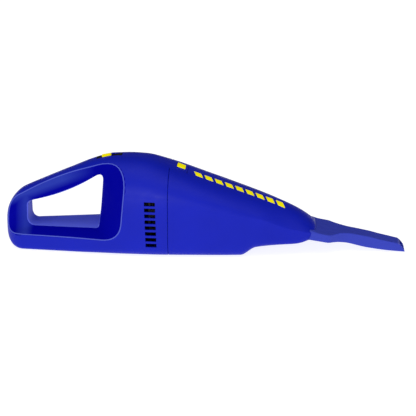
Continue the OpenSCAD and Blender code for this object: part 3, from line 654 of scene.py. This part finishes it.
def printed_bars(count=9, start=-14.0, pitch=12.2, length=8.4, slant=3.0, proud=0.1, sunk=0.3):
    """Row of plain slanted bars printed on the -Y shoulder of the bowl."""
    across = np.linspace(BARS_Y[0], BARS_Y[1], 9)
    bars = []
    for k in range(count):
        rings = []
        for x in np.linspace(start + k * pitch, start + k * pitch + length, 7):
            along = x + slant * (across - across[0]) / np.ptp(across)
            outer = np.column_stack([along, -across, crown_z(along, across, -proud)])
            inner = np.column_stack([along, -across, crown_z(along, across, sunk)])
            rings.append(np.concatenate([outer, inner[::-1]]))
        bars.append(loft("printed_bars", rings))
    return combine(bars[0], bars[1:], "UNION")


# --------------------------------------------------------------------- materials

def node_material(name, color, roughness, **sockets):
    """Principled material with its constant sockets set."""
    made = bpy.data.materials.new(name)
    made.use_nodes = True
    shader = made.node_tree.nodes["Principled BSDF"]
    shader.inputs["Base Color"].default_value = (*color, 1)
    shader.inputs["Roughness"].default_value = roughness
    for key, value in sockets.items():
        shader.inputs[key.replace("_", " ")].default_value = value
    return made, made.node_tree, shader


def noise(tree, scale, detail=3.0, stretch=(1, 1, 1)):
    """Noise in object coordinates; scale is in waves per metre."""
    place = tree.nodes.new("ShaderNodeTexCoord")
    mapping = tree.nodes.new("ShaderNodeMapping")
    mapping.inputs["Scale"].default_value = stretch
    texture = tree.nodes.new("ShaderNodeTexNoise")
    texture.inputs["Scale"].default_value = scale
    texture.inputs["Detail"].default_value = detail
    tree.links.new(place.outputs["Object"], mapping.inputs["Vector"])
    tree.links.new(mapping.outputs["Vector"], texture.inputs["Vector"])
    return texture.outputs["Fac"]


def spread(tree, source, low, high, start=0.3, stop=0.7):
    """Maps a value between start and stop onto the range from low to high."""
    ramp = tree.nodes.new("ShaderNodeMapRange")
    ramp.inputs["From Min"].default_value = start
    ramp.inputs["From Max"].default_value = stop
    ramp.inputs["To Min"].default_value = low
    ramp.inputs["To Max"].default_value = high
    tree.links.new(source, ramp.inputs["Value"])
    return ramp.outputs["Result"]


def combined(tree, operation, a, b):
    """Result of one math node on two sources."""
    node = tree.nodes.new("ShaderNodeMath")
    node.operation = operation
    tree.links.new(a, node.inputs[0])
    tree.links.new(b, node.inputs[1])
    return node.outputs["Value"]


def bump(tree, shader, source, strength, distance):
    """Surface relief from a noise; distance is in metres."""
    node = tree.nodes.new("ShaderNodeBump")
    node.inputs["Strength"].default_value = strength
    node.inputs["Distance"].default_value = distance
    tree.links.new(source, node.inputs["Height"])
    tree.links.new(node.outputs["Normal"], shader.inputs["Normal"])


def tint(tree, shader, source, color_a, color_b):
    """Base colour between two colours, as the source goes from 0 to 1."""
    mix = tree.nodes.new("ShaderNodeMix")
    mix.data_type = "RGBA"
    mix.inputs["A"].default_value = (*color_a, 1)
    mix.inputs["B"].default_value = (*color_b, 1)
    tree.links.new(source, mix.inputs["Factor"])
    tree.links.new(mix.outputs["Result"], shader.inputs["Base Color"])


def moulded(name, color, roughness, grain=0.12, painted_light_color=None, **sockets):
    """Moulded plastic: fine grain, and handling marks in its gloss.

    Its colour drifts slightly, or passes to a lighter colour, painted light, on the grip's flank and
    close behind the loop.
    """
    made, tree, shader = node_material(name, color, roughness, **sockets)
    if painted_light_color is None:
        tint(tree, shader, spread(tree, noise(tree, 18), 0, 1), color, [0.9 * c for c in color])
    else:
        tint(tree, shader, painted_light_mask(tree), color, painted_light_color)
    scuffs = noise(tree, 60, 6, (1, 3, 3))
    tree.links.new(spread(tree, scuffs, roughness - 0.05, roughness + 0.12), shader.inputs["Roughness"])
    bump(tree, shader, noise(tree, 2600, 2), grain, 0.00006)
    return made


def painted_light_mask(tree):
    """Where the dish gets painted light: 1 on the grip's flank above the loop and 0.75 close behind the
    loop, else falling to 0.
    """
    place = tree.nodes.new("ShaderNodeTexCoord")
    turned = tree.nodes.new("ShaderNodeMapping")
    turned.vector_type = "TEXTURE"
    turned.inputs["Location"].default_value = (-0.213, 0, 0.0565)
    turned.inputs["Rotation"].default_value = (0, -math.radians(21), 0)
    parts = tree.nodes.new("ShaderNodeSeparateXYZ")
    tree.links.new(place.outputs["Object"], turned.inputs["Vector"])
    tree.links.new(turned.outputs["Vector"], parts.inputs["Vector"])
    above = spread(tree, parts.outputs["Z"], 0, 1, 0.001, 0.009)
    grip = combined(tree, "MULTIPLY", above, spread(tree, parts.outputs["X"], 1, 0, 0.05, 0.092))
    straight = tree.nodes.new("ShaderNodeSeparateXYZ")
    tree.links.new(place.outputs["Object"], straight.inputs["Vector"])
    edge = spread(tree, straight.outputs["X"], 0, 0.75, -0.228, -0.217)
    rear = combined(tree, "MULTIPLY", edge, spread(tree, straight.outputs["X"], 1, 0, -0.214, -0.206))
    return combined(tree, "MAXIMUM", grip, rear)


def metal(name, color, roughness):
    """Turned or stamped metal with fine marks along X."""
    made, tree, shader = node_material(name, color, roughness, Metallic=1.0)
    marks = noise(tree, 900, 4, (1, 8, 8))
    tree.links.new(spread(tree, marks, roughness - 0.08, roughness + 0.12), shader.inputs["Roughness"])
    bump(tree, shader, marks, 0.15, 0.00003)
    return made


def cloth(name, color):
    """Non-woven filter felt."""
    made, tree, shader = node_material(name, color, 0.95)
    fibres = noise(tree, 1500, 5, (1, 1, 3))
    tint(tree, shader, spread(tree, fibres, 0, 1), color, [0.7 * c for c in color])
    bump(tree, shader, fibres, 0.5, 0.0002)
    return made


SHELL = moulded("shell_blue", (0.003, 0.011, 0.44), 0.36, 0.08, Specular_IOR_Level=0.14)
# Darker blue of the finger loop's dish: painted shade of the recess, passing to lighter painted light
# on the grip's flank and close behind the loop.
RECESS_PAINTED_SHADE = moulded(
    "recess_blue_painted_shade", (0.0001, 0.0002, 0.285), 0.6, 0.15, (0.021, 0.038, 0.37), Specular_IOR_Level=0.02
)
# Lighter blue of the lip around the dish: a painted highlight along its rounded edge.
LIP_HIGHLIGHT = moulded("lip_painted_highlight", (0.075, 0.105, 0.56), 0.4, 0.05, Specular_IOR_Level=0.1)
# Light greyish blue of the loop's rail and inner wall: painted light and painted reflection where the
# hole catches light.
LOOP_WALL_LIGHT = moulded("loop_wall_painted_light", (0.12, 0.155, 0.8), 0.5, 0.15, Specular_IOR_Level=0.05)
HOUSING_MATERIALS = (SHELL, RECESS_PAINTED_SHADE, LIP_HIGHLIGHT, LOOP_WALL_LIGHT)
TOOL_BLUE = moulded("tool_blue", (0.036, 0.054, 0.48), 0.42, 0.12, Specular_IOR_Level=0.12)
# Yellow plastic with a weak emission: a painted glow that brightens the button, the switch knob and the
# printed bars.
GLOWING_YELLOW = moulded(
    "signal_yellow_painted_glow", (0.93, 0.82, 0.002), 0.5, 0.1,
    Specular_IOR_Level=0.03, Emission_Color=(0.95, 0.85, 0.0, 1), Emission_Strength=0.24,
)
BLACK = moulded("black_plastic", (0.008, 0.008, 0.009), 0.5, Specular_IOR_Level=0.15)
RUBBER = moulded("seal_rubber", (0.018, 0.018, 0.02), 0.75, 0.3)
NYLON = moulded("nylon", (0.72, 0.71, 0.66), 0.5)
STEEL = metal("steel", (0.62, 0.62, 0.64), 0.3)
# Near black steel for the motor can: painted shade inside the housing, seen through the vent slots.
SHADED_STEEL = metal("steel_painted_shade", (0.035, 0.035, 0.04), 0.45)
BRASS = metal("brass", (0.72, 0.5, 0.22), 0.35)
COPPER = metal("copper", (0.78, 0.36, 0.2), 0.35)
FELT = cloth("filter_felt", (0.78, 0.76, 0.7))
FOAM = cloth("foam", (0.05, 0.05, 0.055))
BOARD = moulded("circuit_board", (0.02, 0.16, 0.05), 0.4)
CELL = moulded("cell_wrap", (0.02, 0.22, 0.12), 0.3)
RED_WIRE = moulded("red_insulation", (0.5, 0.01, 0.01), 0.45)
BLACK_WIRE = moulded("black_insulation", (0.015, 0.015, 0.016), 0.45)

NODE_MATERIALS = {
    "switch_plate": BLACK, "switch_knob": GLOWING_YELLOW, "switch_body": BLACK, "switch_contact": BRASS,
    "front_cover": BLACK, "bowl_seal": RUBBER, "filter_gasket": RUBBER,
    "filter_frame": BLACK, "filter_cup": FELT, "valve_seat": BLACK, "flap": RUBBER, "flap_pin": STEEL,
    "impeller": BLACK, "fan_nut": STEEL, "motor_plate": BLACK, "motor_screws": STEEL,
    "motor_can": SHADED_STEEL, "motor_magnets": BLACK, "motor_bearings": BRASS, "motor_shaft": STEEL,
    "armature": COPPER, "commutator": COPPER, "motor_end": NYLON, "motor_brushes": BLACK,
    "motor_terminals": BRASS, "motor_ring": RUBBER, "battery_cells": CELL, "battery_tabs": STEEL,
    "battery_foam": FOAM, "charge_board": BOARD, "board_parts": BLACK, "charge_jack": BLACK,
    "jack_pin": STEEL, "wire_motor": RED_WIRE, "wire_switch": RED_WIRE, "wire_battery": RED_WIRE,
    "wire_charge": BLACK_WIRE, "housing_screws": STEEL,
}


def dress(made, *materials):
    """Gives an object its materials and returns it."""
    made.data.materials.clear()
    for material in materials:
        made.data.materials.append(material)
    return made


# ------------------------------------------------------------------------- build

def hand_over(piece, body, slot, *nodes):
    """Puts a piece on its CAD body and hides the nodes it stands for; slot is not used."""
    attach(piece, body)
    if nodes:
        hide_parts(*nodes)
    return piece


def build_shells():
    """Makes every piece that stands for a CAD node, and the printed bars."""
    whole = housing()
    hand_over(housing_half(whole, "shell_right", -1), "housing", "blue_plastic", "housing_right")
    hand_over(housing_half(whole, "shell_left", 1), "housing", "blue_plastic", "housing_left")
    bpy.data.objects.remove(whole)
    hand_over(dress(bowl(), SHELL), "bowl", "bowl_plastic", "dust_bowl")
    hand_over(dress(tool(), TOOL_BLUE), "tool", "tool_plastic", "crevice_tool")
    hand_over(dress(button(), GLOWING_YELLOW), "button", "yellow_plastic", "release_button")
    hand_over(dress(printed_bars(), GLOWING_YELLOW), "bowl", "yellow_plastic")
    spring = hand_over(dress(leaf_spring(), STEEL), "housing", "spring_steel", "release_spring")
    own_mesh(spring)


def dress_nodes():
    """Gives the CAD nodes that stay their materials, and the switch its rounded edges."""
    for name, material in NODE_MATERIALS.items():
        dress(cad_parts[name], material)
    for name in ("switch_plate", "switch_knob"):
        bevel(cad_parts[name], 0.35, 2)


def floor():
    """Plain pale floor that the vacuum rests on."""
    side = 9000
    corners = [[-side, -side, 0], [side, -side, 0], [side, side, 0], [-side, side, 0]]
    made = new_object("floor", corners, [[0, 1, 2, 3]])
    material, _, shader = node_material("floor_white", (0.4, 0.4, 0.4), 0.9, Specular_IOR_Level=0.0)
    shader.inputs["Emission Color"].default_value = (1, 1, 1, 1)
    shader.inputs["Emission Strength"].default_value = 0.86
    dress(made, material)


def studio_sky(front=1.05, back=0.1, middle=0.6, zenith=3.4):
    """White surround: bright in front, dim behind and half way up, with a soft top light."""
    world = bpy.data.worlds.new("studio")
    bpy.context.scene.world = world
    world.use_nodes = True
    tree = world.node_tree
    place = tree.nodes.new("ShaderNodeTexCoord")
    parts = tree.nodes.new("ShaderNodeSeparateXYZ")
    tree.links.new(place.outputs["Generated"], parts.inputs["Vector"])
    level = spread(tree, parts.outputs["Y"], front, back, -0.5, 0.5)
    level = combined(tree, "MULTIPLY", level, spread(tree, parts.outputs["Z"], 1, middle, 0.2, 0.6))
    level = combined(tree, "MULTIPLY", level, spread(tree, parts.outputs["Z"], 1, zenith, 0.7, 1))
    tree.links.new(level, tree.nodes["Background"].inputs["Strength"])
    tree.nodes["Background"].inputs["Color"].default_value = (1, 1, 1, 1)


def area_light(name, azimuth, elevation, distance, size, power):
    """Square light that looks at the vacuum; azimuth 0 is in front of its side."""
    a, e = math.radians(azimuth), math.radians(elevation)
    place = Vector((math.sin(a) * math.cos(e), -math.cos(a) * math.cos(e), math.sin(e))) * distance
    light = bpy.data.lights.new(name, "AREA")
    light.size = size
    light.energy = power
    made = bpy.data.objects.new(name, light)
    made.location = place
    made.rotation_euler = (-place).to_track_quat("-Z", "Y").to_euler()
    bpy.context.scene.collection.objects.link(made)


def stage_and_light():
    """Floor, surround and key light."""
    floor()
    studio_sky()
    area_light("key", azimuth=-14, elevation=16, distance=2.4, size=0.7, power=9)


# Metres in the plane through the target, and the sensor's width in millimetres.
FRAME_WIDTH = 0.4992
AIM_RIGHT, AIM_DOWN = 0.0024, 0.0078
SENSOR = 36


def camera(azimuth=3.5, elevation=17.0, distance=1.8):
    """Camera at the vacuum's right side, aimed a little to the right of the target and below it."""
    a, e = math.radians(azimuth), math.radians(elevation)
    back = Vector((math.sin(a) * math.cos(e), -math.cos(a) * math.cos(e), math.sin(e)))
    right = Vector((math.cos(a), math.sin(a), 0))
    up = right.cross(-back).normalized()
    target = Vector((0, 0, 0.055))
    place = target + back * distance
    aim = target + right * AIM_RIGHT - up * AIM_DOWN
    lens = bpy.data.cameras.new("camera")
    lens.sensor_width = SENSOR
    lens.lens = SENSOR * distance / FRAME_WIDTH
    made = bpy.data.objects.new("camera", lens)
    made.location = place
    made.rotation_euler = (aim - place).to_track_quat("-Z", "Y").to_euler()
    bpy.context.scene.collection.objects.link(made)
    bpy.context.scene.camera = made


camera()
stage_and_light()
build_shells()
dress_nodes()
bpy.context.scene.view_settings.view_transform = "Standard"
